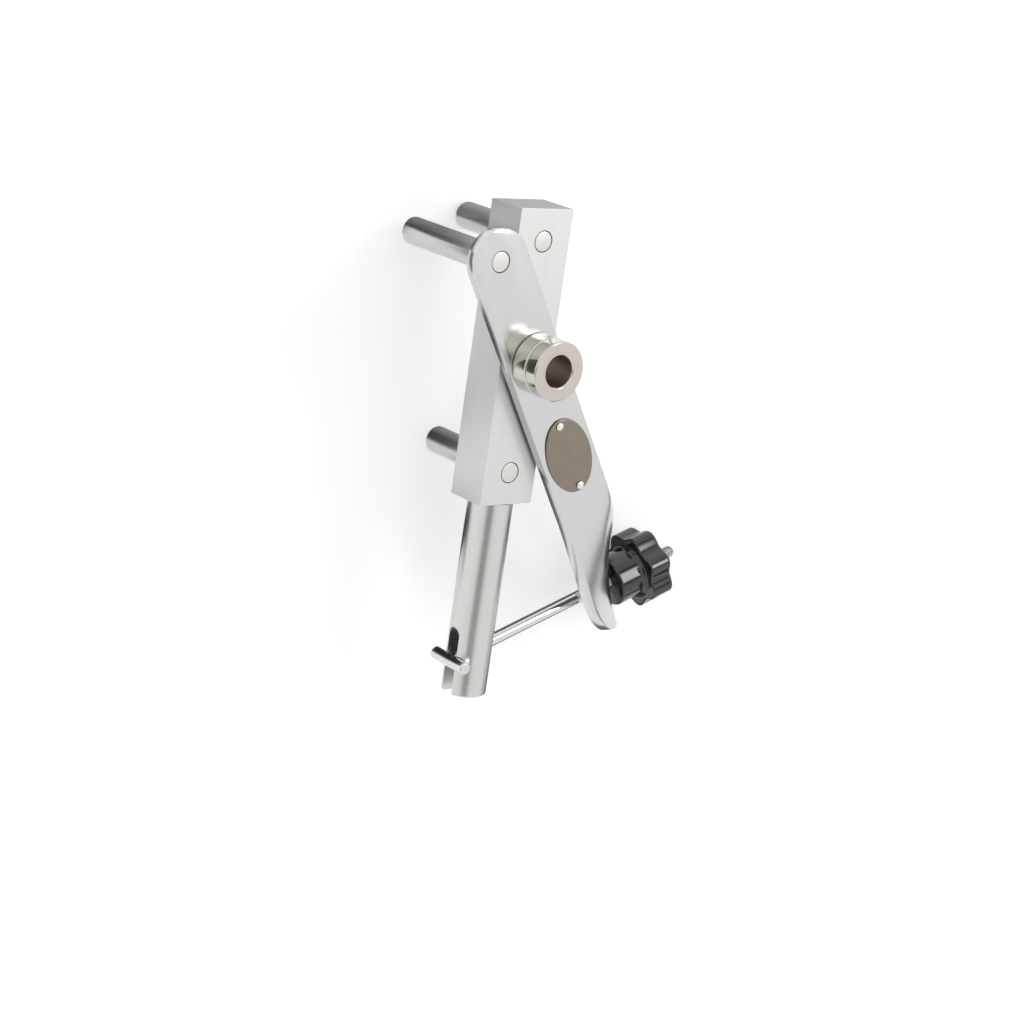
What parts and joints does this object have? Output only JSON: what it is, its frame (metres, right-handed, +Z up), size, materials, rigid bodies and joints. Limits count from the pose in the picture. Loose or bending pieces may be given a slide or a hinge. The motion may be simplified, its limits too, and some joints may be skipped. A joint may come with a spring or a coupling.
{
  "type": "drill guide clamp",
  "caption": "Drill guide with a square bar, a headed drill bush, guide pins, and a swinging arm that a star knob on a hinged rod closes.",
  "frame": {"origin": "centre of the bounding box's bottom, with the guide lying on its two bar pins and its knob", "axes": "+Y along the bar towards the end with the arm's pin, +Z up, +X towards the knob"},
  "size_m": [0.1382, 0.1992, 0.0733],
  "materials": {
    "bar_aluminium": "fine brushed, satin",
    "arm_steel": "satin with polished edges",
    "pin_steel": "ground and polished",
    "post_steel": "satin turned",
    "bush_nickel": "nickel plated, bright",
    "sleeve_steel": "turned",
    "rod_chrome": "bright plated",
    "badge_metal": "dark anodised, satin",
    "rivet_steel": "bright",
    "knob_black": "moulded gloss",
    "insert_brass": "machined"
  },
  "bodies": {
    "bar": {"guide_bar": "bar_aluminium", "post": "post_steel", "upper_bar_pin": "pin_steel", "lower_bar_pin": "pin_steel", "pivot_sleeve": "sleeve_steel", "pivot_washer": "sleeve_steel", "pivot_collar": "bush_nickel", "drill_bush": "bush_nickel"},
    "arm": {"arm": "arm_steel", "arm_pin": "pin_steel", "badge_plate": "badge_metal", "badge_rivet_upper": "rivet_steel", "badge_rivet_lower": "rivet_steel"},
    "clamp_rod": {"clamp_rod": "rod_chrome", "cross_pin": "rod_chrome"},
    "knob_nut": {"knob_insert": "insert_brass"},
    "knob": {"knob": "knob_black"}
  },
  "joints": [
    {"name": "arm_pivot", "type": "hinge", "parent": "bar", "child": "arm", "pos_m": [-0.02612, 0.0408, 0.05026], "axis": [0.2886, 0, 0.9574], "range_deg": [-7.5, 4]},
    {"name": "rod_swing", "type": "hinge", "parent": "bar", "child": "clamp_rod", "pos_m": [-0.0373, -0.08585, 0.04368], "axis": [0.2886, 0, 0.9574], "range_deg": [-2.6, 1.5]},
    {"name": "knob_travel", "type": "slide", "parent": "clamp_rod", "child": "knob_nut", "axis": [0.9022, 0.3346, -0.272], "range_m": [-0.0146, 0.0079]},
    {"name": "knob_spin", "type": "hinge", "parent": "knob_nut", "child": "knob", "pos_m": [0.0366, -0.05844, 0.0214], "axis": [0.9022, 0.3346, -0.272], "continuous": true}
  ],
  "couplings": [
    {"joint": "rod_swing", "follows": "arm_pivot", "ratio": 0.325},
    {"joint": "knob_travel", "follows": "arm_pivot", "m_per_rad": 0.1098}
  ]
}
